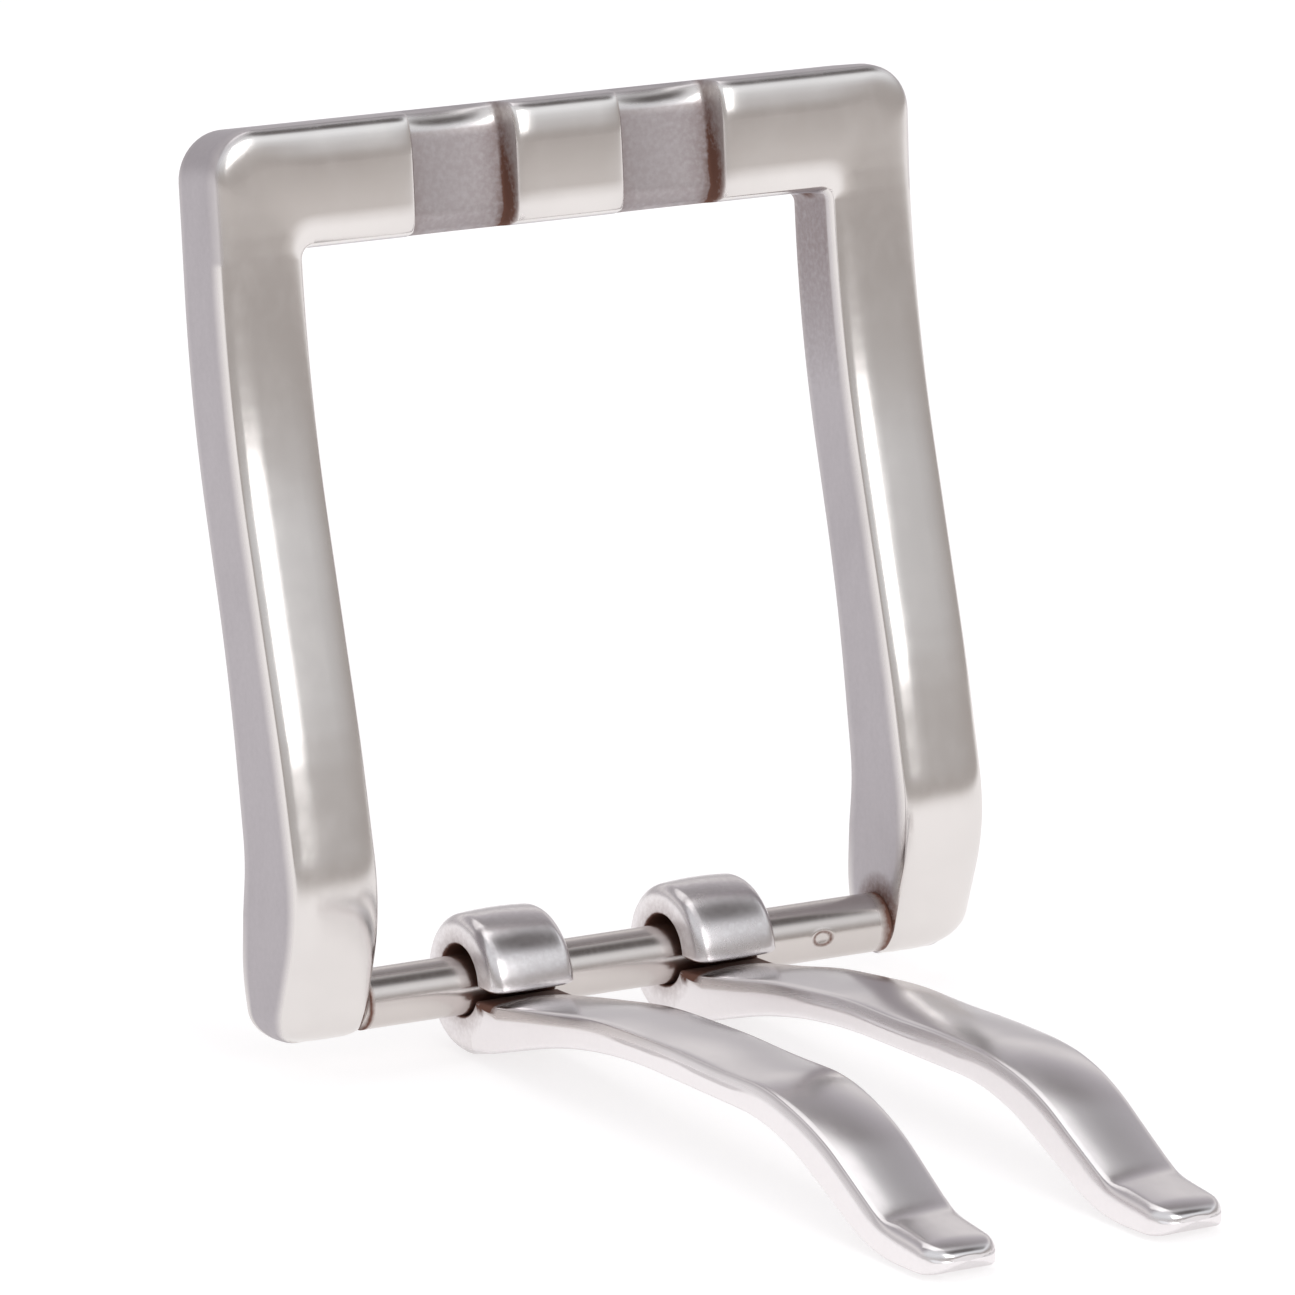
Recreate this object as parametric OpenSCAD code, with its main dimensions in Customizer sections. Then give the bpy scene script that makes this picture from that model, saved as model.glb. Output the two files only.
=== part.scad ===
// Double-prong belt buckle: a cast frame, a round crossbar and two loose hooked prongs.
// Millimetres. The origin is the middle of the crossbar's axis, X runs along the crossbar,
// the buckle faces -Y and +Z is up. The buckle stands on its hooks and prong tips.

/* [Frame] */
// Clear width between the side bars, which is the strap width plus a little
inner_width = 40; // [30:0.5:50]
// Width of each side bar seen from the front
side_bar_width = 6.5; // [4:0.1:9]
// Height of the end bar's inner edge above the crossbar axis
end_bar_inner = 49.5; // [40:0.5:60]
// Height of the end bar's outer edge above the crossbar axis
end_bar_outer = 57.7; // [46:0.1:70]
// Radius of the two outer corners beside the end bar
outer_corner_radius = 3.2; // [0.5:0.1:5]
// Width of the steep bevel along every front edge of the frame
frame_bevel = 0.25; // [0.15:0.05:0.6]
// Depth of that bevel, front to back
frame_bevel_depth = 1.05; // [0.3:0.05:1.5]
// Rise of the domed front from its bevels to its middle
frame_dome = 0.2; // [0:0.05:0.8]
// Angle the frame leans back from upright
frame_lean = 12; // [0:0.5:25]

/* [Prong notches] */
// Distance between the middles of the two notches
notch_pitch = 15.8; // [12:0.1:20]
// Width of each notch at its floor
notch_width = 7.4; // [6:0.1:10]
// Distance of the notch floor in front of the crossbar axis
notch_floor = 1.9; // [1:0.1:3]
// Bevel along the mouth of each notch
notch_bevel = 0.35; // [0:0.05:1]

/* [Crossbar] */
// Diameter of the round crossbar
crossbar_diameter = 4; // [3:0.1:6]
// Diameter of the turned-down spigots at the ends of the crossbar
spigot_diameter = 3; // [2:0.1:4]
// Depth of the blind sockets in the side bars
socket_depth = 4; // [2:0.1:5]
// Distance of the punched dimple from the middle of the crossbar
dimple_offset = 14.6; // [12:0.1:17]

/* [Prongs] */
// Outer radius of the hook round the crossbar
hook_radius = 4.8; // [4:0.1:6]
// Play all round between the hook and the crossbar
hook_play = 0.5; // [0.2:0.05:0.8]
// Width of the prong at its hook
prong_width = 6.4; // [4:0.1:7]
// Width of the prong at its tip
tip_width = 5.6; // [3:0.1:7]
// Distance from the crossbar axis to the end of the tip
prong_reach = 57.4; // [45:0.1:60]
// Width of the steep bevel along the upper edges of the prong
prong_bevel = 0.25; // [0.15:0.05:0.6]
// Depth of that bevel
prong_bevel_depth = 0.8; // [0.3:0.05:1.2]
// Place of the left hook along the crossbar
left_hook_x = -9.1; // [-16:0.1:-4]
// Place of the right hook along the crossbar
right_hook_x = 6.4; // [4:0.1:16]
// Angle the left prong sits askew within its play
left_skew = 0.7; // [-2:0.1:2]
// Angle the right prong sits askew within its play
right_skew = 2; // [-2:0.1:2]

/* [Hidden] */
$fn = 96;
outer_width = inner_width + 2 * side_bar_width;
bar_r = crossbar_diameter / 2;
bore_r = bar_r + hook_play;
steel = [0.74, 0.72, 0.71];
bright_steel = [0.80, 0.79, 0.78];
prong_steel = [0.66, 0.64, 0.63];

// ---- Paths with rounded corners --------------------------------------------------
// A path is a list of [x, y, radius]. Its outer side is on the left of its direction.
function unit(v) = v / norm(v);
function flat(p) = [p[0], p[1]];
function heading(a, b) = unit(flat(b) - flat(a));
function left_of(v) = [-v[1], v[0]];
function turn(a, b, c) = let (d = heading(a, b), e = heading(b, c))
    atan2(d[0] * e[1] - d[1] * e[0], d[0] * e[0] + d[1] * e[1]);
function setback(a, b, c) = b[2] * tan(abs(turn(a, b, c)) / 2);
function bend_from(a, b, c) = flat(b) - heading(a, b) * setback(a, b, c);
function bend_centre(a, b, c) = bend_from(a, b, c)
    + left_of(heading(a, b)) * b[2] * sign(turn(a, b, c));
function bend_start(a, b, c) = let (v = bend_from(a, b, c) - bend_centre(a, b, c))
    atan2(v[1], v[0]);
function bend_points(a, b, c, n) = b[2] == 0 ? [flat(b)] :
    [for (i = [0 : n]) let (q = bend_start(a, b, c) + turn(a, b, c) * i / n)
        bend_centre(a, b, c) + b[2] * [cos(q), sin(q)]];
function path_points(p, n) = [for (i = [0 : len(p) - 1])
    each (i == 0 || i == len(p) - 1 ? [flat(p[i])] : bend_points(p[i - 1], p[i], p[i + 1], n))];

// Cross-section of a domed bar with bevelled edges: [across, drop below the middle].
function dome_section(half, rise, bevel, depth) = concat(
    [[-half - bevel * 0.4, -rise - depth * 1.4]],
    [for (i = [-4 : 4]) let (a = (half - bevel) * i / 4) [a, -rise * pow(i / 4, 2)]],
    [[half + bevel * 0.4, -rise - depth * 1.4]]);

// The air over a bar, between its side view's path and a lid. Each slice across the bar is
// the same, with the path dropped by the section there. Path and lid run anticlockwise.
module air_over(path, lid, section, drop) {
    n = len(path) + len(lid);
    m = len(section);
    polyhedron(
        points = [for (v = section) each concat([for (p = path) [p[0] + drop[0] * v[1], p[1] + drop[1] * v[1], v[0]]],
            [for (p = lid) [p[0], p[1], v[0]]])],
        faces = concat(
            [[for (i = [0 : n - 1]) i]],
            [for (j = [0 : m - 2], i = [0 : n - 1])
                [j * n + i, (j + 1) * n + i, (j + 1) * n + (i + 1) % n, j * n + (i + 1) % n]],
            [[for (i = [n - 1 : -1 : 0]) (m - 1) * n + i]]));
}

// Turns side-view coordinates [forwards, up, across] into the buckle's own axes.
module from_side() {
    rotate([90, 0, -90])
        children();
}

module lean_back() {
    rotate([-frame_lean, 0, 0])
        children();
}

// ---- Frame -----------------------------------------------------------------------
// Side view of the frame: [forwards, up, radius], the front first, from top to bottom.
front_path = [
    [4.69, end_bar_outer + 1.5, 0],
    [2.6, 41.8, 92],
    [5.15, 17, 100],
    [5.65, 6.2, 10],
    [1.3, -2.3, 3.6]];
back_path = [
    [-3.75, -2.3, 2.6],
    [-3.85, 2.6, 10],
    [-1.6, 10, 12],
    [-1.35, 22, 100],
    [-2.96, 40, 80],
    [-1.1, end_bar_outer + 1.5, 0]];
spare = 0.12;
full_front = [for (i = [0 : 4]) [front_path[i][0] + (i < 4 ? spare : 0), front_path[i][1], front_path[i][2]]];
front_table = [for (p = path_points(front_path, 24)) [p[1], p[0]]];
function front_at(s) = lookup(s, front_table);

module frame_slab() {
    from_side()
        linear_extrude(height = outer_width, center = true)
            polygon(path_points(concat([[0, end_bar_outer + 1.5, 0]], full_front, back_path), 12));
}

module plan_outline() {
    w = outer_width / 2;
    r = outer_corner_radius;
    foot = -3;
    translate([0, 15, 0])
        rotate([90, 0, 0])
            linear_extrude(height = 30)
                union() {
                    translate([-w, foot + r])
                        square([outer_width, end_bar_outer - foot - 2 * r]);
                    translate([-w + r, foot])
                        square([outer_width - 2 * r, end_bar_outer - foot]);
                    for (x = [-w + r, w - r], z = [foot + r, end_bar_outer - r])
                        translate([x, z])
                            circle(r = r);
                }
}

module strap_opening() {
    translate([-inner_width / 2, -15, -12])
        cube([inner_width, 30, end_bar_inner + 12]);
}

// The corner between a side bar and the end bar is mitred from edge to edge.
// The side is 1 for the right-hand bar and -1 for the left-hand one.
module side_of_mitre(side) {
    w = outer_width / 2;
    dx = side_bar_width;
    dz = end_bar_outer - end_bar_inner;
    reach = 1.4;
    translate([0, 15, 0])
        rotate([90, 0, 0])
            linear_extrude(height = 30)
                polygon([for (v = [
                    [inner_width / 2, end_bar_inner],
                    [inner_width / 2 + dx * reach, end_bar_inner + dz * reach],
                    [w + 10, end_bar_inner + dz * reach],
                    [w + 10, -10],
                    [inner_width / 2 - 1, -10],
                    [inner_width / 2 - 1, end_bar_inner - dz / dx]]) [v[0] * side, v[1]]]);
}

// The air in front of one side bar.
module side_bar_air(side) {
    foot = front_path[4];
    path = concat(
        path_points([for (i = [0 : 4]) [front_path[i][0], front_path[i][1], i < 4 ? front_path[i][2] : 0]], 8),
        [[foot[0] - 0.5, foot[1] - 1]]);
    lid = [[10, foot[1] - 1], [10, end_bar_outer + 1.5]];
    section = dome_section(side_bar_width / 2, frame_dome, frame_bevel, frame_bevel_depth);
    intersection() {
        translate([side * (inner_width + side_bar_width) / 2, 0, 0])
            from_side()
                air_over(path, lid, section, [1, 0]);
        side_of_mitre(side);
    }
}

// Section of the air in front of the end bar: [forwards, up].
module end_bar_air() {
    m = (end_bar_inner + end_bar_outer) / 2;
    h = (end_bar_outer - end_bar_inner) / 2;
    b = frame_bevel;
    d = frame_dome + frame_bevel_depth;
    difference() {
        difference() {
            from_side()
                linear_extrude(height = outer_width + 2, center = true)
                    polygon(concat(
                        [[7, m - h - b], [front_at(m - h) - d * 2, m - h - b]],
                        [[front_at(m - h) - d, m - h]],
                        [for (i = [-6 : 6]) let (z = m + (h - b) * i / 6)
                            [front_at(z) - frame_dome * pow(i / 6, 2), z]],
                        [[front_at(m + h) - d, m + h]],
                        [[front_at(m + h) - d * 2, m + h + b], [7, m + h + b]]));
            side_of_mitre(1);
        }
        side_of_mitre(-1);
    }
}

module notch() {
    w = notch_width / 2;
    from_side()
        linear_extrude(height = notch_width, center = true)
            polygon([
                [7, end_bar_inner - 1],
                [notch_floor - 1.4, end_bar_inner - 1],
                [notch_floor - 0.7, end_bar_inner],
                [notch_floor, end_bar_inner + 1.1],
                [notch_floor, end_bar_outer + 1],
                [7, end_bar_outer + 1]]);
    translate([0, 0, end_bar_inner - 1])
        linear_extrude(height = end_bar_outer - end_bar_inner + 2)
            polygon([
                [-w, -2.9],
                [w, -2.9],
                [w + notch_bevel * 3, -2.9 - notch_bevel * 6],
                [w + notch_bevel * 3, -7],
                [-w - notch_bevel * 3, -7],
                [-w - notch_bevel * 3, -2.9 - notch_bevel * 6]]);
}

module sockets() {
    rotate([0, 90, 0])
        cylinder(d = spigot_diameter, h = inner_width + 2 * socket_depth, center = true);
}

module frame_blank() {
    difference() {
        intersection() {
            frame_slab();
            plan_outline();
        }
        strap_opening();
    }
}

module domed_frame() {
    difference() {
        difference() {
            difference() {
                frame_blank();
                side_bar_air(1);
            }
            side_bar_air(-1);
        }
        end_bar_air();
    }
}

module frame() {
    color(steel)
        lean_back()
            difference() {
                difference() {
                    domed_frame();
                    sockets();
                }
                for (x = [-notch_pitch / 2, notch_pitch / 2])
                    translate([x, 0, 0])
                        notch();
            }
}

// ---- Crossbar --------------------------------------------------------------------
module crossbar() {
    spigot = socket_depth - 0.2;
    color(bright_steel)
        difference() {
            union() {
                translate([-inner_width / 2, 0, 0])
                    rotate([0, 90, 0])
                        cylinder(r = bar_r, h = inner_width);
                translate([-inner_width / 2 - spigot, 0, 0])
                    rotate([0, 90, 0])
                        cylinder(d = spigot_diameter, h = inner_width + 2 * spigot);
            }
            translate([dimple_offset, -(bar_r + 1.1), 0])
                sphere(r = 1.3);
        }
}

// ---- Prongs ----------------------------------------------------------------------
// Side view of a prong: [forwards, up, radius], the upper side first, root to tip.
upper_path = [
    [2.2, -0.606, 0],
    [17.43, 2.577, 80],
    [41.57, 3.33, 20],
    [51.4, -2.04, 3],
    [prong_reach + 0.5, -2.64, 0]];
lower_path = [
    [prong_reach + 0.5, -4.5, 0],
    [50.7, -4.7, 12],
    [39.4, 0.78, 18],
    [17.1, 0.33, 55]];
// Where the underside runs off the hook's round outside, as an angle below forwards.
belly = lower_path[3];
tangent = acos(hook_radius / norm(flat(belly))) - atan2(belly[1], belly[0]);
function on_hook(q) = hook_radius * [cos(q), sin(q)];

module prong_side() {
    raised = [for (p = upper_path) [p[0], p[1] + spare, p[2]]];
    under = concat(lower_path, [concat(on_hook(-tangent), [0])]);
    polygon(concat(
        [[0, 0.6], [0, -1]],
        path_points(raised, 10),
        path_points(under, 10),
        [for (i = [1 : 60]) on_hook(-tangent - (353.7 - tangent) * i / 60)]));
}

// Plan of a prong: it narrows towards a rounded tip.
module prong_plan() {
    w = prong_width / 2;
    t = tip_width / 2;
    r = 1.3;
    translate([0, 0, -8])
        linear_extrude(height = 16)
            union() {
                polygon([[-w, 8], [-w, -40], [-t, -prong_reach + r], [t, -prong_reach + r], [w, -40], [w, 8]]);
                translate([-t + r, -prong_reach])
                    square([2 * (t - r), r + 1]);
                for (x = [-t + r, t - r])
                    translate([x, -prong_reach + r])
                        circle(r = r, $fn = 48);
            }
}

// The air round one outer edge of the hook, which is rounded over.
module hook_air(side) {
    w = prong_width / 2;
    r = 0.8;
    c = hook_radius - r;
    rotate([0, 0, 8])
        rotate_extrude(angle = 275, $fn = 180)
            polygon(concat(
                [for (i = [0 : 5]) [c + r * cos(15 * i + 7.5), side * (w - r + r * sin(15 * i + 7.5))]],
                [[c - 0.1, side * (w + 0.3)], [hook_radius + 0.5, side * (w + 0.3)],
                    [hook_radius + 0.5, side * (w - r - 0.3)]]));
}

// The air above the prong, from the slot in its hook to its tip.
module prong_air() {
    lid = [[prong_reach + 0.5, 5], [8, 5], [5.2, 0.43], [2.2, -0.2]];
    section = dome_section(prong_width / 2, 0.2, prong_bevel, prong_bevel_depth);
    from_side()
        air_over(path_points(upper_path, 8), lid, section, [0, 1]);
}

module prong(skew) {
    difference() {
        rotate([0, 0, skew])
            difference() {
                difference() {
                    difference() {
                        intersection() {
                            from_side()
                                linear_extrude(height = prong_width + 0.4, center = true)
                                    prong_side();
                            prong_plan();
                        }
                        prong_air();
                    }
                    from_side()
                        hook_air(1);
                }
                from_side()
                    hook_air(-1);
            }
        translate([-prong_width, 0, 0])
            rotate([0, 90, 0])
                cylinder(r = bore_r, h = 2 * prong_width);
    }
}

module left_prong() {
    color(prong_steel)
        translate([left_hook_x, 0, 0])
            prong(left_skew);
}

module right_prong() {
    color(prong_steel)
        translate([right_hook_x, 0, 0])
            prong(right_skew);
}

frame();
crossbar();
left_prong();
right_prong();
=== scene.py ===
import bisect
import math

import bmesh
import bpy
from mathutils import Matrix, Vector


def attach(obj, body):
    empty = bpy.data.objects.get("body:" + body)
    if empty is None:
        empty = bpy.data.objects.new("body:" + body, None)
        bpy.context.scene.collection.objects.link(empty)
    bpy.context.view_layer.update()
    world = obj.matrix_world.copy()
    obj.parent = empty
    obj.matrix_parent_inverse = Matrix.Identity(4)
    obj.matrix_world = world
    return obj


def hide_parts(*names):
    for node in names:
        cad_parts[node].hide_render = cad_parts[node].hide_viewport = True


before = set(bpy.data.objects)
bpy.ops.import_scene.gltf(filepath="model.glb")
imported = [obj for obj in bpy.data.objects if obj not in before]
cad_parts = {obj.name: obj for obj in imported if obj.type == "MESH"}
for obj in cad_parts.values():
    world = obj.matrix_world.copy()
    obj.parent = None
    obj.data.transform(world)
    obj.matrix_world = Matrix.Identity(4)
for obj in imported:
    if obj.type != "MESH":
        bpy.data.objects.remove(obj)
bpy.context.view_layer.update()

MM = 0.001

# ---- Sizes, in millimetres, the same as the CAD model's ---------------------------
INNER = 40.0          # clear width between the side bars
SIDE_BAR = 6.5        # width of a side bar
END_IN = 49.5         # height of the end bar's inner edge
END_OUT = 57.7        # height of the end bar's outer edge
OUTER = INNER / 2 + SIDE_BAR
CORNER_R = 3.2        # outer corners of the frame
INNER_R = 0.7         # corners of its opening
LEAN = math.radians(12)
NOTCH_X = 7.9         # middle of a notch
NOTCH_HALF = 3.7      # half its width
NOTCH_FLOOR = 1.9     # how far forwards its floor lies
BAR_R = 2.0
SPIGOT_R = 1.5
SPIGOT_END = 23.8     # how far the spigots reach into the side bars
DIMPLE_X = 14.6
HOOK_R = 4.8
BORE_R = 2.4
BORE_AT = Vector((-0.1, 0.28))  # the hook hangs on the bar, so its hole sits a little high
PRONG_W = 6.4
TIP_W = 5.6
REACH = 57.4          # from the crossbar's axis to the tip
TAPER_FROM = 40.0     # the prong narrows from here to its tip
TIP_R = 1.9           # corners of the tip seen from above

# Side views, as [forwards, up, corner radius]. The frame's are drawn upright, before it leans
# back, and FOOT is the lowest line of its feet.
FOOT = -2.3
FRONT_PATH = [
    (4.69, END_OUT + 1.5, 0), (2.6, 41.8, 92), (5.15, 17, 100), (5.65, 6.2, 14),
    (1.3, FOOT, 3.6), (-1.05, FOOT, 0)]
BACK_PATH = [
    (-1.05, FOOT, 0), (-3.75, FOOT, 2.6), (-3.85, 2.6, 10), (-1.6, 10, 12),
    (-1.35, 22, 100), (-2.96, 40, 80), (-1.1, END_OUT + 1.5, 0)]
UPPER_PATH = [
    (2.2, -0.606, 0), (17.43, 2.577, 80), (41.57, 3.33, 20), (51.4, -2.04, 3),
    (REACH + 0.5, -2.64, 0)]
LOWER_PATH = [
    (1.44, -4.58, 0), (17.1, 0.33, 55), (39.4, 0.78, 18), (50.7, -4.7, 12),
    (REACH + 0.5, -4.5, 0)]


# ---- Curves -----------------------------------------------------------------------
def clamp(value, low=0.0, high=1.0):
    return min(max(value, low), high)


def spoke(angle):
    return Vector((math.cos(angle), math.sin(angle)))


def rounded(path, per_degree=1.2):
    """The points of a path [x, y, corner radius] with its corners rounded."""
    out = []
    for i, (x, y, r) in enumerate(path):
        p = Vector((x, y))
        if i in (0, len(path) - 1) or r == 0:
            out.append(p)
            continue
        d = (p - Vector(path[i - 1][:2])).normalized()
        e = (Vector(path[i + 1][:2]) - p).normalized()
        turn = math.atan2(d.x * e.y - d.y * e.x, d.dot(e))
        start = p - d * r * math.tan(abs(turn) / 2)
        side = 1 if turn > 0 else -1
        centre = start + Vector((-d.y, d.x)) * r * side
        n = max(3, int(abs(math.degrees(turn)) * per_degree))
        v = start - centre
        for k in range(n + 1):
            cos, sin = math.cos(turn * k / n), math.sin(turn * k / n)
            out.append(centre + Vector((v.x * cos - v.y * sin, v.x * sin + v.y * cos)))
    return out


def resample(points, where):
    """Points at the given shares of a polyline's length."""
    run = [0.0]
    for a, b in zip(points, points[1:]):
        run.append(run[-1] + (b - a).length)
    out = []
    for w in where:
        t = clamp(w) * run[-1]
        i = clamp(bisect.bisect_right(run, t) - 1, 0, len(points) - 2)
        span = run[i + 1] - run[i]
        out.append(points[i].lerp(points[i + 1], (t - run[i]) / span if span else 0))
    return out


def at(points, key, axis=1):
    """The point of a polyline whose coordinate on that axis is key."""
    for a, b in zip(points, points[1:]):
        lo, hi = a[axis], b[axis]
        if (lo - key) * (hi - key) <= 0 and lo != hi:
            return a.lerp(b, (key - lo) / (hi - lo))
    return min((points[0], points[-1]), key=lambda p: abs(p[axis] - key)).copy()


def round_drop(a, r):
    """How far an edge rounded to radius r has dropped at distance a from its outside."""
    return r - math.sqrt(max(r ** 2 - (r - min(a, r)) ** 2, 0))


def table(pairs):
    """A function that reads between the given (x, y) pairs and is level past their ends."""
    xs = [p[0] for p in pairs]
    ys = [p[1] for p in pairs]

    def f(x):
        if x <= xs[0]:
            return ys[0]
        if x >= xs[-1]:
            return ys[-1]
        i = bisect.bisect_right(xs, x) - 1
        return ys[i] + (ys[i + 1] - ys[i]) * (x - xs[i]) / (xs[i + 1] - xs[i])
    return f


def skin(name, loops, closed_ends=(False, False), values=None):
    """A closed tube of quads through the loops. values: attribute name to one list per loop."""
    bm = bmesh.new()
    layers = {k: bm.verts.layers.float.new(k) for k in (values or {})}
    rings = []
    for i, loop in enumerate(loops):
        ring = []
        for j, co in enumerate(loop):
            v = bm.verts.new(co)
            for k, layer in layers.items():
                v[layer] = values[k][i][j]
            ring.append(v)
        rings.append(ring)
    n = len(rings[0])
    for a, b in zip(rings, rings[1:]):
        for j in range(n):
            bm.faces.new((a[j], a[(j + 1) % n], b[(j + 1) % n], b[j]))
    if closed_ends[0]:
        bm.faces.new(rings[0][::-1])
    if closed_ends[1]:
        bm.faces.new(rings[-1])
    bmesh.ops.remove_doubles(bm, verts=bm.verts, dist=2e-7)
    bmesh.ops.dissolve_degenerate(bm, edges=bm.edges, dist=1e-8)
    bmesh.ops.recalc_face_normals(bm, faces=bm.faces)
    mesh = bpy.data.meshes.new(name)
    bm.to_mesh(mesh)
    bm.free()
    mesh.shade_smooth()
    obj = bpy.data.objects.new(name, mesh)
    bpy.context.scene.collection.objects.link(obj)
    return obj


# ---- Frame ------------------------------------------------------------------------
FRONT = rounded(FRONT_PATH)
BACK = rounded(BACK_PATH)
front_t = table(sorted((p.y, p.x) for p in FRONT if p.y > 0))
back_t = table(sorted((p.y, p.x) for p in BACK if p.y > 0))

# Drop of the front below its middle, by distance from an edge: a steep narrow facet,
# a soft shoulder, and then the dome.
EDGE = [
    (0.0, 1.46), (0.012, 1.34), (0.04, 1.2), (0.075, 1.06), (0.12, 0.86), (0.165, 0.67),
    (0.205, 0.52), (0.235, 0.43), (0.27, 0.37), (0.32, 0.325), (0.4, 0.28), (0.52, 0.225),
    (0.7, 0.16), (0.92, 0.1), (1.2, 0.052), (1.55, 0.018), (2.0, 0.0)]
edge_drop = table(EDGE)
# Share of a notch's depth that is filled, by distance outside its floor.
WALL = [
    (-0.22, 0.0), (-0.12, 0.015), (-0.05, 0.07), (0.0, 0.2), (0.045, 0.42), (0.09, 0.64),
    (0.14, 0.79), (0.21, 0.87), (0.31, 0.91), (0.46, 0.938), (0.7, 0.963), (1.05, 0.984),
    (1.6, 1.0)]
wall_fill = table(WALL)
MIDDLE = [0.12, 0.26, 0.42, 0.58, 0.74, 0.88]   # shares of the way across the dome
SIDES = [0.12, 0.3, 0.5, 0.7, 0.88]             # shares of the way down a side face
DOME = 0.13           # rise of the dome
ROLL = 0.42           # how far the end bar's outer edge is rolled over
BACK_R = 0.4          # rounding of the back edges
FOOT_TOP = 6.5        # the sections fan out below this height
FOOT_STEPS = 34
BAR_STEPS = 89
CORNER_STEPS = 36
NO_LIMIT = 9.0


def across(length):
    """Distances from the inner edge to the outer edge of a section."""
    edge = [e[0] for e in EDGE]
    mid = length / 2 - edge[-1]
    half = edge + [edge[-1] + mid * m for m in MIDDLE] + [length / 2]
    return half + [length - a for a in reversed(half[:-1])]


def lean(x, t, s):
    """A point of the upright frame, t forwards and s up, leant back and in metres."""
    y = -t
    back = y * math.cos(LEAN) + s * math.sin(LEAN)
    up = -y * math.sin(LEAN) + s * math.cos(LEAN)
    return Vector((x, back, up)) * MM


def section(inner, outer, front, back, limit=NO_LIMIT, notch=1.0, roll=0.0, soft=0.0):
    """One loop of the frame, with its values of "side" and "stain". inner and outer are
    (x, s) at the front and at the back. front and back are t as a function of s, and the
    direction (t, s) into the steel. No drop is more than limit. notch is 0 in a notch and 1
    outside it, roll is how far the outer edge is rolled over, and soft is 1 where the edges
    are fully rounded."""
    (front_in, back_in), (front_out, back_out) = inner, outer
    length = max((Vector(front_out) - Vector(front_in)).length, 1e-6)
    places = across(length)

    def point(face, start, end, a, drop):
        u = a / length
        x = start[0] + (end[0] - start[0]) * u
        s = start[1] + (end[1] - start[1]) * u
        t, inwards = face[0](s), face[1]
        return x, s + inwards[1] * drop, t + inwards[0] * drop

    def front_drop(a):
        near, from_outer = min(a, length - a), length - a
        tight, round_r = 1.0, 1.0
        if a > length / 2:
            tight, round_r = 1 + roll / ROLL, 1.9
        full = edge_drop(near * tight) * (1 - soft) + soft * round_drop(near, round_r)
        full += DOME * (2 * a / length - 1) ** 2 + roll * max(1 - from_outer / 2.6, 0) ** 1.4
        # In a notch the top edge rolls over, most of all in the notch's middle.
        x = front_in[0] + (front_out[0] - front_in[0]) * a / length
        bow = 1 - min(abs(abs(x) - NOTCH_X) / NOTCH_HALF, 1) ** 2
        low = 0.3 * edge_drop(near) + (0.3 + 0.75 * bow) * max(1 - from_outer / 1.7, 0) ** 2
        return min(full * notch + low * (1 - notch), limit)

    def back_drop(a):
        near = min(a, length - a)
        return min(round_drop(near, BACK_R) * (1 - soft) + soft * round_drop(near, 1.1), limit)

    f = [point(front, front_in, front_out, a, front_drop(a)) for a in places]
    b = [point(back, back_in, back_out, a, back_drop(a)) for a in places]
    loop, side = [], []

    def put(point_xst, is_side):
        x, s, t = point_xst
        loop.append(lean(x, t, s))
        side.append(is_side)

    for a, p in zip(places, f):
        facet = 0.55 if roll and a > length / 2 else 0.2
        matt_floor = (1 - notch) * 0.85 * clamp((length - a - 0.9) / 0.9)
        put(p, max(1.0 - min(min(a, length - a) / facet, 1.0), matt_floor))
    for k in SIDES:
        put([f[-1][i] + (b[-1][i] - f[-1][i]) * k for i in range(3)], 1.0)
    for p in reversed(b):
        put(p, 0.8 * (1 - soft))
    for k in reversed(SIDES):
        put([f[0][i] + (b[0][i] - f[0][i]) * k for i in range(3)], 1.0)
    return loop, side, [0.0] * len(loop)


def foot_section(sign, f, b, soft):
    """A section of a foot, from f on the front's line to b on the back's."""
    gap = b - f
    down = gap.normalized() if gap.length > 1e-6 else Vector((0, 1))

    def inset(s, r):
        h = clamp((s - FOOT) / r)
        return r * (1 - math.sqrt(max(1 - (1 - h) ** 2, 0)))

    def ends(p):
        return ((sign * (INNER / 2 + inset(p.y, 0.6)), p.y),
                (sign * (OUTER - inset(p.y, 2.3)), p.y))
    (front_in, front_out), (back_in, back_out) = ends(f), ends(b)
    return section((front_in, back_in), (front_out, back_out),
                   (lambda s: f.x, (down.x, down.y)), (lambda s: b.x, (-down.x, -down.y)),
                   limit=gap.length * 0.42, soft=min(soft * 1.25, 1))


def bar_section(sign, inner, outer, roll=0.0):
    """A section of a side bar or a corner, between two points (x, s)."""
    i, o = (sign * inner[0], inner[1]), (sign * outer[0], outer[1])
    return section((i, i), (o, o), (front_t, (-1, 0)), (back_t, (1, 0)), roll=roll)


def end_section(x):
    """A section of the end bar, in a notch, outside the notches or in the wall of one."""
    off = abs(abs(x) - NOTCH_X)
    fill = wall_fill(off - NOTCH_HALF)

    def floor_t(s):
        slope = clamp((END_IN + 1.1 - s) / 1.1) * 0.7
        return NOTCH_FLOOR + 0.06 - 0.24 * (1 - min(off / NOTCH_HALF, 1) ** 2) - slope

    def t_here(s):
        return floor_t(s) * (1 - fill) + front_t(s) * fill
    i, o = (x, END_IN), (x, END_OUT)
    return section((i, i), (o, o), (t_here, (-1, 0)), (back_t, (1, 0)), notch=fill, roll=ROLL)


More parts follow.
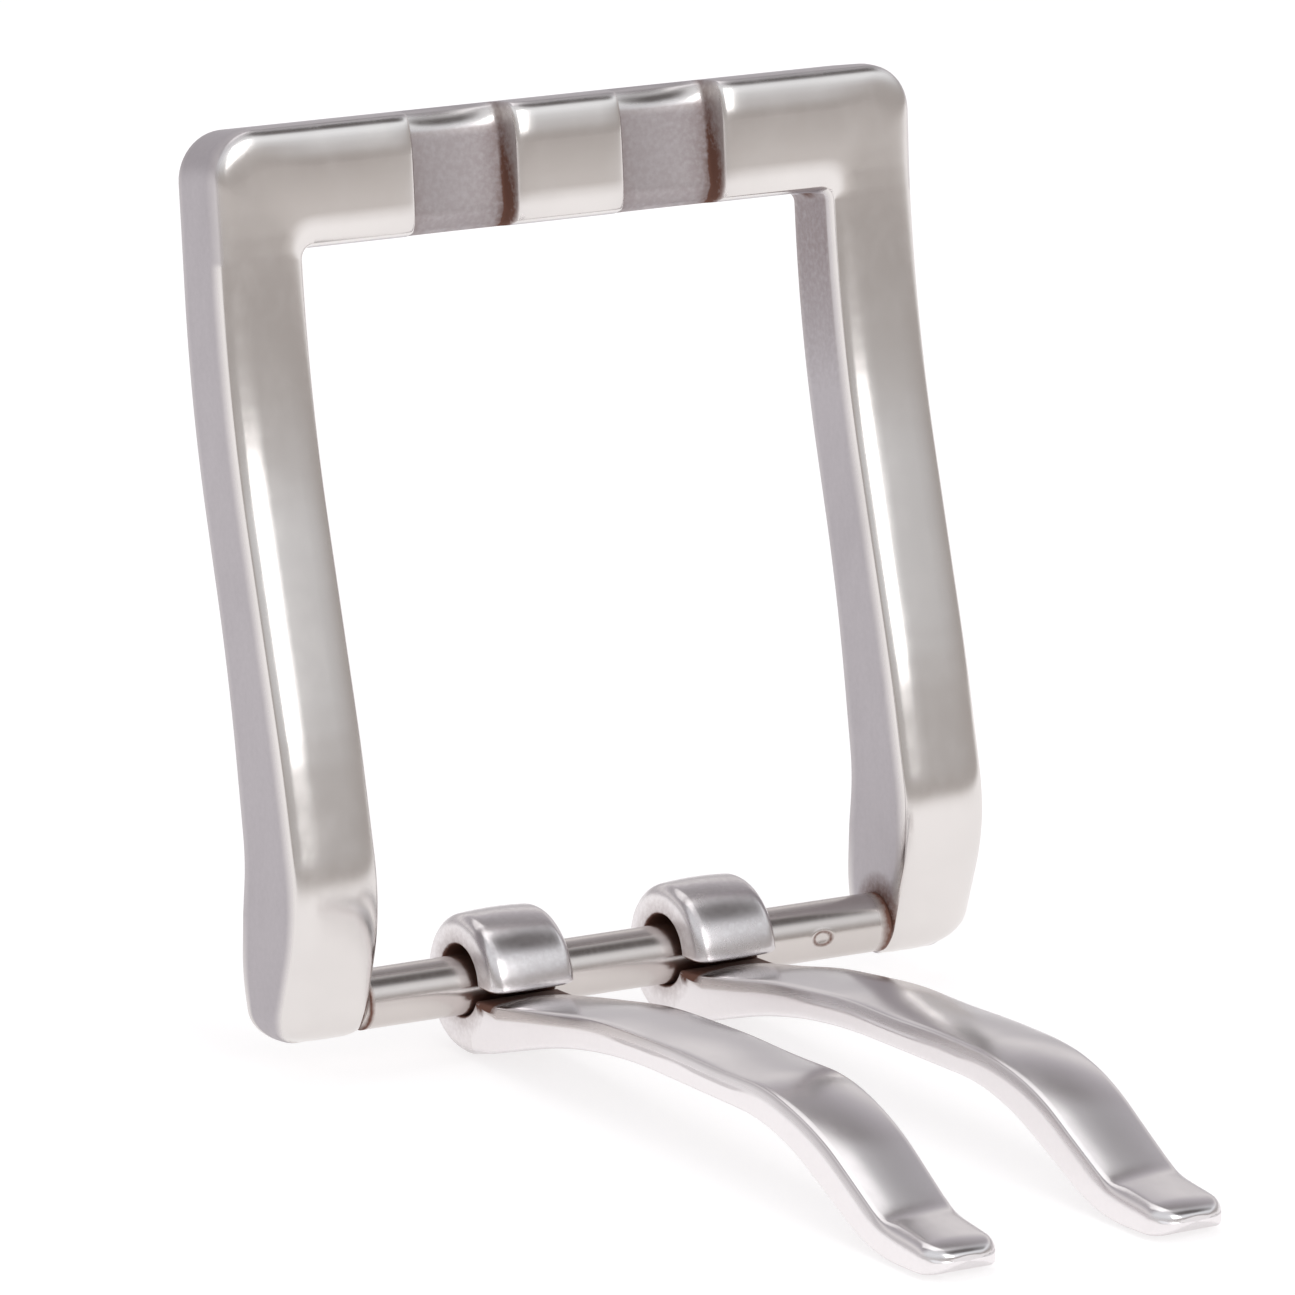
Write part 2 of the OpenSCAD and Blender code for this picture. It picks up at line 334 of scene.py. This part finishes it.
def side_sections(sign):
    """Every section from a foot up to the end of its corner."""
    n = FOOT_STEPS
    foot_front = [at(FRONT, FOOT_TOP)] + [p for p in FRONT if p.y < FOOT_TOP]
    foot_back = [p for p in BACK if p.y < FOOT_TOP] + [at(BACK, FOOT_TOP)]
    foot_front = resample(foot_front, [1 - k / n for k in range(n + 1)])
    foot_back = resample(foot_back, [k / n for k in range(n + 1)])
    out = [foot_section(sign, foot_front[k], foot_back[k], 1 - k / n) for k in range(n + 1)]

    spring = END_IN - INNER_R
    for k in range(1, BAR_STEPS + 1):
        s = FOOT_TOP + (spring - FOOT_TOP) * k / BAR_STEPS
        out.append(bar_section(sign, (INNER / 2, s), (OUTER, s)))

    n = CORNER_STEPS

    def arc(centre, r, steps):
        return [centre + r * spoke(math.pi / 2 * k / steps) for k in range(steps + 1)]
    inner = arc(Vector((INNER / 2 - INNER_R, spring)), INNER_R, n)
    outer = [Vector((OUTER, spring))]
    outer += arc(Vector((OUTER - CORNER_R, END_OUT - CORNER_R)), CORNER_R, 48)
    outer.append(Vector((INNER / 2 - INNER_R, END_OUT)))
    outer = resample(outer, [k / n for k in range(n + 1)])
    for k in range(1, n + 1):
        out.append(bar_section(sign, inner[k], outer[k], ROLL * (k / n) ** 1.5))
    return out


def end_places():
    """Where the end bar's sections are, closest together at the walls of the notches."""
    xs = set()
    for m in (-NOTCH_X, NOTCH_X):
        for w, _ in WALL:
            xs.update((m - NOTCH_HALF - w, m + NOTCH_HALF + w))
        xs.update(m + k * 0.5 for k in range(-6, 7))
    xs.update(k * 0.6 for k in range(-4, 5))
    for k in range(1, 9):
        x = 13.2 + (INNER / 2 - INNER_R - 13.2) * (k / 9)
        xs.update((x, -x))
    return sorted(xs)


def build_frame():
    """The frame's sections, up the left side, across the end bar and down the right side."""
    sections = side_sections(-1)
    sections += [end_section(x) for x in end_places()]
    sections += reversed(side_sections(1))
    loops, sides, stains = zip(*sections)
    return skin("frame_casting", loops, values={"side": sides, "stain": stains})


def stain_frame(obj):
    """Brown residue where the polishing wheel doesn't reach, and the right bar's inner face made a
    little darker towards the top.
    """
    layer = obj.data.attributes["stain"].data
    back = Matrix.Rotation(LEAN, 3, "X")
    for i, v in enumerate(obj.data.vertices):
        p = back @ v.co / MM
        x, t, s = p.x, -p.y, p.z
        dirt = 0.0
        for m in (-NOTCH_X, NOTCH_X):
            if s > END_IN - 0.3 and t > 0.6:
                if abs(x - m) < NOTCH_HALF and s < END_OUT - 1.3:
                    dirt = max(dirt, 0.24 + 0.2 * (abs(x - m) / NOTCH_HALF) ** 4)
                low = clamp((END_OUT - 0.4 - s) / 5.5)
                right_wall = x - (m + NOTCH_HALF)
                spread = 0.4 if right_wall < 0 else 0.32
                dirt = max(dirt, (0.42 + 0.58 * low) * (1 - abs(right_wall + 0.03) / spread))
                left_wall = x - (m - NOTCH_HALF)
                dirt = max(dirt, (0.3 + 0.55 * low) * (1 - abs(left_wall - 0.05) / 0.3))
        if abs(x - INNER / 2) < 0.3:
            dirt = max(dirt, 1.1 - math.hypot(t - 0.6, s - 0.3) / 3.3)
            dirt = max(dirt, 0.8 - math.hypot((t - 0.4) / 2.0, (s - END_IN) / 1.3))
            # Higher up, the right bar's inner face, away from its front edge, is made a little darker
            # towards the top.
            if s < END_IN - 0.2 and t < front_t(s) - 1.2:
                dirt = max(dirt, 0.3 * clamp((s - 30) / 16))
        if abs(x + INNER / 2) < 0.3:
            dirt = max(dirt, 0.75 - math.hypot(t, s) / 3.6)
        layer[i].value = clamp(dirt)


# ---- Crossbar ---------------------------------------------------------------------
def build_crossbar():
    """A rod with a punched dimple at the front and a spigot at each end."""
    chamfer = 0.15
    spigot = [(INNER / 2 + 0.02, SPIGOT_R), (SPIGOT_END - chamfer, SPIGOT_R),
              (SPIGOT_END, SPIGOT_R - chamfer)]
    n = 260
    stations = [(-x, r) for x, r in reversed(spigot)]
    stations += [(-INNER / 2 + INNER * k / n, BAR_R) for k in range(n + 1)]
    stations += spigot
    around = 144
    loops, marks = [], []
    for x, r in stations:
        loop, mark = [], []
        for k in range(around):
            q = 2 * math.pi * k / around
            y, z = -math.cos(q), math.sin(q)
            dent, dirt = 0.0, 0.0
            if r == BAR_R:
                # Distance from the dimple's middle, as a share of its size.
                dist = math.hypot((x - DIMPLE_X) / 0.78, (math.atan2(z, -y) * r) / 0.56)
                lip = 0.018 * math.exp(-((dist - 1.12) / 0.14) ** 2)
                dent = 0.2 * max(0, 1 - dist ** 2) - lip
                dirt = max(0.0, 1 - abs(dist - 0.85) / 0.3) * 0.7
                dirt = max(dirt, 0.9 - (INNER / 2 - x) / 1.1, 0.8 - (INNER / 2 + x) / 0.5)
            loop.append(Vector((x, y * (r - dent), z * (r - dent))) * MM)
            mark.append(dirt)
        loops.append(loop)
        marks.append(mark)
    return skin("crossbar_rod", loops, (True, True), {"stain": marks})


# ---- Prongs -----------------------------------------------------------------------
# Rounding of an edge: share of the way in, share of the way down.
ROUND = [(1 - math.cos(math.pi / 2 * k / 8), 1 - math.sin(math.pi / 2 * k / 8)) for k in range(9)]
# The tongue's upper edge: distance from the side, and drop below the top.
CREST = [
    (0.0, 1.06), (0.012, 0.96), (0.04, 0.84), (0.08, 0.7), (0.125, 0.52), (0.17, 0.36),
    (0.21, 0.26), (0.26, 0.2), (0.34, 0.16)]
HOOK_START = math.radians(7.5)
HOOK_END = math.radians(270)
ROOT_END = math.radians(338)    # where the hole's wall turns into the top of the tongue
SEAT_X = 4.0                    # the tongue's underside starts here
HOOK_STEPS = 84
ROOT_STEPS = 22
TONGUE_STEPS = 130
TIP_STEPS = 22


def prong_loop(top, under, half, crest, hook, pad):
    """One section of a prong: top and under are (forwards, up). crest is 0 inside the hook
    and 1 on the tongue, hook is 1 on the hook's outside and 0 on the tongue's underside,
    and pad is 1 on the rounded pad at the tip."""
    gap = under - top
    thick = gap.length
    down = gap / thick if thick > 1e-9 else Vector((0, -1))
    limit = thick * 0.46
    half = max(half, 1e-4)
    crest *= 1 - 0.85 * pad
    r = min(0.22 + 0.75 * pad, limit * 0.9)
    edge = [(r * ra + (a - r * ra) * crest, r * rd + (d - r * rd) * crest)
            for (a, d), (ra, rd) in zip(CREST, ROUND)]
    last, low = edge[-1]
    crown = 0.18 * crest + 0.12 * pad

    def top_drop(a, d):
        w = 1 - min(a / half, 1)
        return min(d + crown * w * w, limit)

    ups = [(a, top_drop(a, d)) for a, d in edge]
    for m in (0.1, 0.24, 0.42, 0.62, 0.82, 1.0):
        a = last + (half - last) * m
        ups.append((a, top_drop(a, low * (1 - (a - last) / (half - last)) ** 2)))
    r = min(0.34 + 0.5 * hook, limit, half * 0.6)
    lows = [(r * ra, r * rd) for ra, rd in ROUND]
    lows += [(r + (half - r) * m, 0.0) for m in (0.15, 0.3, 0.45, 0.6, 0.75, 0.9, 1.0)]
    # The hook is crowned a little across its width.
    lows = [(a, d + 0.2 * hook * (1 - a / half) ** 2) for a, d in lows]

    side_top, side_low = top + down * ups[0][1], under - down * lows[0][1]
    loop = [(a - half, top + down * d) for a, d in ups]
    loop += [(half - a, top + down * d) for a, d in reversed(ups[:-1])]
    loop += [(half, side_top.lerp(side_low, k)) for k in (0.25, 0.5, 0.75)]
    loop += [(half - a, under - down * d) for a, d in lows]
    loop += [(a - half, under - down * d) for a, d in reversed(lows[:-1])]
    loop += [(-half, side_top.lerp(side_low, k)) for k in (0.75, 0.5, 0.25)]
    return loop


def prong_stations(upper, lower):
    """Every section from the hook's free end to the tip, as (top, under, crest, hook)."""
    stations = []
    # Round the hook, from its free end over the top and down the back.
    for k in range(HOOK_STEPS + 1):
        c = spoke(HOOK_START + (HOOK_END - HOOK_START) * k / HOOK_STEPS)
        stations.append((BORE_AT + c * BORE_R, c * HOOK_R, 0.0, 1.0))
    # Under the bar the inside turns into the top of the tongue.
    n = ROOT_STEPS
    first_x, first_y, _ = LOWER_PATH[0]
    tangent = math.atan2(first_y, first_x) + 2 * math.pi
    seat = at(lower, SEAT_X, 0)
    outside = [HOOK_R * spoke(HOOK_END + (tangent - HOOK_END) * k / 6) for k in range(7)]
    outside += [p for p in lower if 1.5 < p.x < SEAT_X] + [seat]
    outside = resample(outside, [k / n for k in range(n + 1)])
    for k in range(1, n + 1):
        c = spoke(HOOK_END + (ROOT_END - HOOK_END) * k / n)
        stations.append((BORE_AT + c * BORE_R, outside[k], 0.0, 1.0 - k / n))
    # The tongue, out to its tip.
    n = TONGUE_STEPS
    first = stations[-1][0]
    tops = [first] + [p for p in upper if first.x + 0.05 < p.x < REACH] + [at(upper, REACH, 0)]
    unders = [seat] + [p for p in lower if SEAT_X < p.x < REACH] + [at(lower, REACH, 0)]
    tops = resample(tops, [k / n for k in range(n + 1)])
    unders = resample(unders, [k / n for k in range(n + 1)])
    for k in range(1, n + 1):
        stations.append((tops[k], unders[k], min(k / 5, 1.0), 0.0))
    return stations


def tongue_half(forwards):
    """Half the tongue's width, which narrows towards the tip."""
    share = max(forwards - TAPER_FROM, 0) / (REACH - 1.3 - TAPER_FROM)
    return (PRONG_W + (TIP_W - PRONG_W) * share) / 2


def prong_stain(x, p, half, hook):
    """Residue in the hole and in front of it, and a slightly dull hook."""
    r = (p - BORE_AT).length
    dirt = 0.0
    if r < BORE_R + 0.24:
        dirt = 1.0 - max(r - BORE_R, 0) / 0.24
    if 2.2 < p.x < 4.75 and -0.95 < p.y < 0.5:
        dirt = max(dirt, 0.85 * min((4.75 - p.x) / 0.9, 1))
    if hook > 0.5 and r > BORE_R + 0.3:
        dirt = max(dirt, 0.165)
    if p.x < 7 and abs(x) > half - 0.3:
        # The hook's cheeks are dull round the hole.
        dirt = max(dirt, 0.34 * (1 - max(r - BORE_R, 0) / 2.2))
    return dirt


def build_prong(name, x0, skew):
    """A prong that hangs at x0 along the bar, turned by skew degrees seen from above."""
    upper, lower = rounded(UPPER_PATH), rounded(LOWER_PATH)
    stations = prong_stations(upper, lower)
    turn = Matrix.Rotation(math.radians(skew), 3, "Z")
    loops, sides, stains = [], [], []

    def emit(top, under, half, crest, hook, pad=0.0):
        loop, side, stain = [], [], []
        for x, p in prong_loop(top, under, half, crest, hook, pad):
            v = turn @ Vector((x, -p.x, p.y))
            v.x += x0
            loop.append(v * MM)
            side.append(clamp((abs(x) - half + 0.12) / 0.1))
            stain.append(prong_stain(x, p, half, hook))
        loops.append(loop)
        sides.append(side)
        stains.append(stain)

    # The hook's free end is rounded off.
    end_r = 0.55
    top, under, crest, hook = stations[0]
    inwards = (under - top).normalized()
    onwards = Vector((math.sin(HOOK_START), -math.cos(HOOK_START)))
    for k in range(7):
        q = math.pi / 2 * k / 7
        less = end_r * (1 - math.sin(q))
        step = onwards * (end_r * math.cos(q)) * 0.55
        emit(top + inwards * less + step, under - inwards * less + step,
             PRONG_W / 2 - less, crest, hook)
    for i, (top, under, crest, hook) in enumerate(stations):
        if i <= HOOK_STEPS + ROOT_STEPS:
            emit(top, under, PRONG_W / 2, crest, hook)
            continue
        f = (top.x + under.x) / 2
        if f > REACH - TIP_R:
            break
        # Hand polishing leaves the top faintly wavy.
        fade = clamp((f - 6) / 6) * clamp((52 - f) / 6)
        top = top + Vector((0, 1)) * fade * 0.035 * math.sin(f * 0.62 + x0)
        emit(top, under, tongue_half(f), crest, hook, clamp((f - 50.2) / 2.6))
    # The tip is rounded in plan and at its end.
    for k in range(1, TIP_STEPS + 1):
        q = math.pi / 2 * k / TIP_STEPS
        f = REACH - TIP_R + TIP_R * math.sin(q)
        top, under = at(upper, f, 0), at(lower, f, 0)
        half = TIP_W / 2 - TIP_R + TIP_R * math.cos(q)
        thin = (under - top).normalized() * 0.7 * (1 - math.cos(q)) ** 1.1
        emit(top + thin, under - thin, half, 1.0, 0.0, 1.0)
    # Its flat end is closed by smaller and smaller rings.
    rim = loops[-1]
    centre = sum(rim, Vector((0, 0, 0))) / len(rim)
    for share in (0.75, 0.5, 0.25):
        loops.append([centre.lerp(v, share) for v in rim])
        sides.append(sides[-1])
        stains.append(stains[-1])
    return skin(name, loops, (True, True), {"side": sides, "stain": stains})


# ---- Materials --------------------------------------------------------------------
class Nodes:
    """The empty node tree of a material or a world, with short ways to fill it."""

    def __init__(self, owner):
        owner.use_nodes = True
        self.owner = owner
        self.tree = owner.node_tree
        self.tree.nodes.clear()

    def add(self, kind, **settings):
        node = self.tree.nodes.new(kind)
        for key, value in settings.items():
            if key in node.inputs:
                node.inputs[key].default_value = value
            else:
                setattr(node, key, value)
        return node

    def link(self, a, b):
        self.tree.links.new(a, b)

    def ramp(self, source, low, high, to_low=0.0, to_high=1.0):
        node = self.add("ShaderNodeMapRange")
        node.inputs["From Min"].default_value = low
        node.inputs["From Max"].default_value = high
        node.inputs["To Min"].default_value = to_low
        node.inputs["To Max"].default_value = to_high
        self.link(source, node.inputs["Value"])
        return node.outputs["Result"]

    def stops(self, source, colours):
        node = self.add("ShaderNodeValToRGB")
        ends = node.color_ramp.elements
        ends[0].position, ends[0].color = colours[0]
        ends[1].position, ends[1].color = colours[-1]
        for place, shade in colours[1:-1]:
            ends.new(place).color = shade
        self.link(source, node.inputs["Fac"])
        return node.outputs["Color"]

    def mix(self, factor, a, b):
        node = self.add("ShaderNodeMix", data_type="RGBA")
        for value, socket in ((a, node.inputs[6]), (b, node.inputs[7])):
            if isinstance(value, tuple):
                socket.default_value = value
            else:
                self.link(value, socket)
        if isinstance(factor, float):
            node.inputs[0].default_value = factor
        else:
            self.link(factor, node.inputs[0])
        return node.outputs[2]

    def math(self, operation, a, b=None):
        node = self.add("ShaderNodeMath", operation=operation)
        for value, socket in ((a, node.inputs[0]), (b, node.inputs[1])):
            if value is None:
                continue
            if isinstance(value, (int, float)):
                socket.default_value = value
            else:
                self.link(value, socket)
        return node.outputs[0]


def shaded(colour, share):
    return tuple(c * share for c in colour[:3]) + (1,)


def steel(name, bright, satin, rough, rough_satin, scratch_axis,
          scratch=0.15, pits=0.05, grain=0.95):
    """Tumbled, polished steel: satin on the sides, brown residue where attribute stain says."""
    n = Nodes(bpy.data.materials.new(name))
    where = n.add("ShaderNodeTexCoord").outputs["Object"]
    side = n.add("ShaderNodeAttribute", attribute_name="side").outputs["Fac"]
    stain = n.add("ShaderNodeAttribute", attribute_name="stain").outputs["Fac"]
    cloud = n.add("ShaderNodeTexNoise", Scale=90.0, Detail=4.0, Roughness=0.55)
    n.link(where, cloud.inputs["Vector"])
    fine = n.add("ShaderNodeTexNoise", Scale=2600.0, Detail=3.0, Roughness=0.6)
    n.link(where, fine.inputs["Vector"])
    stretch = n.add("ShaderNodeMapping", vector_type="POINT")
    stretch.inputs["Scale"].default_value = scratch_axis
    n.link(where, stretch.inputs["Vector"])
    lines = n.add("ShaderNodeTexNoise", Scale=1.0, Detail=5.0, Roughness=0.7)
    n.link(stretch.outputs["Vector"], lines.inputs["Vector"])

    tone = n.mix(n.ramp(cloud.outputs["Fac"], 0.35, 0.65), bright, shaded(bright, 0.93))
    dull = n.mix(n.ramp(fine.outputs["Fac"], 0.3, 0.7), satin, shaded(satin, grain))
    metal = n.mix(side, tone, dull)
    broken = n.math("MULTIPLY", stain, n.ramp(fine.outputs["Fac"], 0.25, 0.6, 0.78, 1.15))
    dirt = n.ramp(broken, 0.12, 0.75)
    colour = n.mix(dirt, metal, (0.15, 0.066, 0.045, 1))

    shader = n.add("ShaderNodeBsdfPrincipled")
    n.link(colour, shader.inputs["Base Color"])
    n.link(n.ramp(dirt, 0.0, 1.0, 1.0, 0.35), shader.inputs["Metallic"])
    base_rough = n.ramp(cloud.outputs["Fac"], 0.3, 0.7, rough * 0.85, rough * 1.25)
    mixed = n.math("ADD", base_rough, n.math("MULTIPLY", side, rough_satin - rough))
    mixed = n.math("ADD", mixed, n.math("MULTIPLY", dirt, 0.35))
    mixed = n.math("ADD", mixed, n.ramp(lines.outputs["Fac"], 0.45, 0.75, 0.0, 0.06))
    n.link(mixed, shader.inputs["Roughness"])

    height = n.math("ADD", n.math("MULTIPLY", lines.outputs["Fac"], scratch),
                    n.math("MULTIPLY", fine.outputs["Fac"], pits))
    grit = n.math("MULTIPLY", side, fine.outputs["Fac"])
    height = n.math("ADD", height, n.math("MULTIPLY", grit, pits * 2.5))
    bump = n.add("ShaderNodeBump", Strength=0.22, Distance=0.00004)
    n.link(height, bump.inputs["Height"])
    n.link(bump.outputs["Normal"], shader.inputs["Normal"])
    out = n.add("ShaderNodeOutputMaterial")
    n.link(shader.outputs["BSDF"], out.inputs["Surface"])
    return n.owner


# ---- The pieces -------------------------------------------------------------------
frame_obj = build_frame()
stain_frame(frame_obj)
frame_obj.data.materials.append(steel(
    "frame_steel", (0.78, 0.745, 0.725, 1), (0.47, 0.44, 0.46, 1), 0.17, 0.42, (500, 900, 260)))
bar_obj = build_crossbar()
bar_obj.data.materials.append(steel(
    "bar_steel", (0.65, 0.605, 0.58, 1), (0.6, 0.57, 0.56, 1), 0.19, 0.3, (3800, 40, 40), scratch=0.6))
prong_mat = steel(
    "prong_steel", (0.74, 0.71, 0.715, 1), (0.88, 0.845, 0.85, 1), 0.19, 0.3, (420, 160, 420),
    pits=0.02, grain=0.98)
left_obj = build_prong("left_prong_strip", -9.1, 0.7)
right_obj = build_prong("right_prong_strip", 6.4, 2.0)
for prong_obj in (left_obj, right_obj):
    prong_obj.data.materials.append(prong_mat)

for piece, body, node, slot in (
        (frame_obj, "frame_body", "frame", "frame_steel"),
        (bar_obj, "frame_body", "crossbar", "bar_steel"),
        (left_obj, "left_prong_body", "left_prong", "prong_steel"),
        (right_obj, "right_prong_body", "right_prong", "prong_steel")):
    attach(piece, body)
    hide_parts(node)

# ---- Floor, light and camera ------------------------------------------------------
bpy.ops.mesh.primitive_plane_add(size=6, location=(0, 0, -0.00485))
floor = bpy.context.object
floor.name = "floor"
white = Nodes(bpy.data.materials.new("floor_glowing_white"))
white_shader = white.add("ShaderNodeBsdfPrincipled", Roughness=0.9)
where = white.add("ShaderNodeTexCoord").outputs["Object"]
split = white.add("ShaderNodeSeparateXYZ")
white.link(where, split.inputs[0])
# The floor glows, painted light that washes out its shadows. Its colour and glow are painted darker in
# front of the buckle, a painted falloff of the light.
painted_falloff = white.ramp(split.outputs["Y"], -0.5, -0.14)
floor_colour_and_glow = white.mix(painted_falloff, (0.24, 0.225, 0.215, 1), (0.45, 0.445, 0.445, 1))
white.link(floor_colour_and_glow, white_shader.inputs["Base Color"])
# The same colour is the floor's glow: painted light, not a lamp.
white.link(floor_colour_and_glow, white_shader.inputs["Emission Color"])
white_shader.inputs["Emission Strength"].default_value = 1.45
white_out = white.add("ShaderNodeOutputMaterial")
white.link(white_shader.outputs["BSDF"], white_out.inputs["Surface"])
floor.data.materials.append(white.owner)


def softbox(name, direction, distance, width, height, power):
    """A soft rectangular light that looks at the buckle."""
    light = bpy.data.lights.new(name, "AREA")
    light.shape = "RECTANGLE"
    light.size, light.size_y = width, height
    light.energy = power
    obj = bpy.data.objects.new(name, light)
    bpy.context.scene.collection.objects.link(obj)
    d = Vector(direction).normalized()
    obj.location = d * distance + Vector((0, 0, 0.03))
    obj.rotation_euler = d.to_track_quat("Z", "Y").to_euler()


def bearing(azimuth, elevation):
    """Azimuth 0 is straight in front of the buckle, and positive is to its right."""
    a, e = math.radians(azimuth), math.radians(elevation)
    return (math.sin(a) * math.cos(e), -math.cos(a) * math.cos(e), math.sin(e))


softbox("key", bearing(3, 30), 1.2, 0.62, 0.62, 3.0)
softbox("top", (-0.1, 0.3, 1), 1.3, 1.1, 1.1, 3.4)

# The studio round the buckle: dimmer near the floor, a pale ceiling in front, and a dark gap
# in the ceiling to the right.
world = bpy.data.worlds.new("studio")
bpy.context.scene.world = world
w = Nodes(world)
looking = w.add("ShaderNodeTexCoord").outputs["Generated"]
w_split = w.add("ShaderNodeSeparateXYZ")
w.link(looking, w_split.inputs[0])
height = w.ramp(w_split.outputs["Z"], -1, 1)
ahead = w.stops(height, [
    (0.0, (0.42, 0.39, 0.375, 1)), (0.5, (0.43, 0.40, 0.385, 1)), (0.56, (0.46, 0.435, 0.42, 1)),
    (0.61, (0.53, 0.515, 0.51, 1)), (0.67, (0.74, 0.75, 0.77, 1)), (0.75, (0.97, 1.0, 1.03, 1)),
    (0.88, (0.86, 0.88, 0.91, 1)), (1.0, (0.8, 0.8, 0.82, 1))])
behind = w.stops(height, [
    (0.0, (0.95, 0.94, 0.94, 1)), (0.5, (0.9, 0.88, 0.89, 1)), (0.54, (0.64, 0.62, 0.63, 1)),
    (0.62, (0.60, 0.58, 0.60, 1)), (0.70, (0.98, 0.955, 0.95, 1)), (0.79, (0.56, 0.54, 0.57, 1)),
    (0.92, (0.28, 0.265, 0.27, 1)), (1.0, (0.6, 0.6, 0.6, 1))])
studio = w.mix(w.ramp(w_split.outputs["Y"], -0.05, 0.3), ahead, behind)
gap = w.add("ShaderNodeVectorMath", operation="DOT_PRODUCT")
w.link(looking, gap.inputs[0])
gap.inputs[1].default_value = (0.492, -0.251, 0.834)
studio = w.mix(w.ramp(gap.outputs["Value"], 0.935, 0.988), studio, (0.13, 0.12, 0.12, 1))
background = w.add("ShaderNodeBackground", Strength=1.0)
w.link(studio, background.inputs["Color"])
w_out = w.add("ShaderNodeOutputWorld")
w.link(background.outputs["Background"], w_out.inputs["Surface"])

view = bpy.context.scene.view_settings
view.view_transform = "Standard"

# The camera's axes: to its right, upwards, and back from what it looks at.
right_axis = Vector((0.86340, -0.50443, 0.00969))
up_axis = Vector((0.11700, 0.21886, 0.96872))
toward = Vector((-0.49077, -0.83525, 0.24799))
cam_data = bpy.data.cameras.new("camera")
cam_data.sensor_width = 36.0
cam_data.lens = 292.2
cam_data.clip_start = 0.01
cam_data.clip_end = 20
cam = bpy.data.objects.new("camera", cam_data)
bpy.context.scene.collection.objects.link(cam)
turn = Matrix((right_axis, up_axis, toward)).transposed().to_4x4()
cam.matrix_world = Matrix.Translation(Vector((-339.53, -581.04, 193.78)) * MM) @ turn
bpy.context.scene.camera = cam
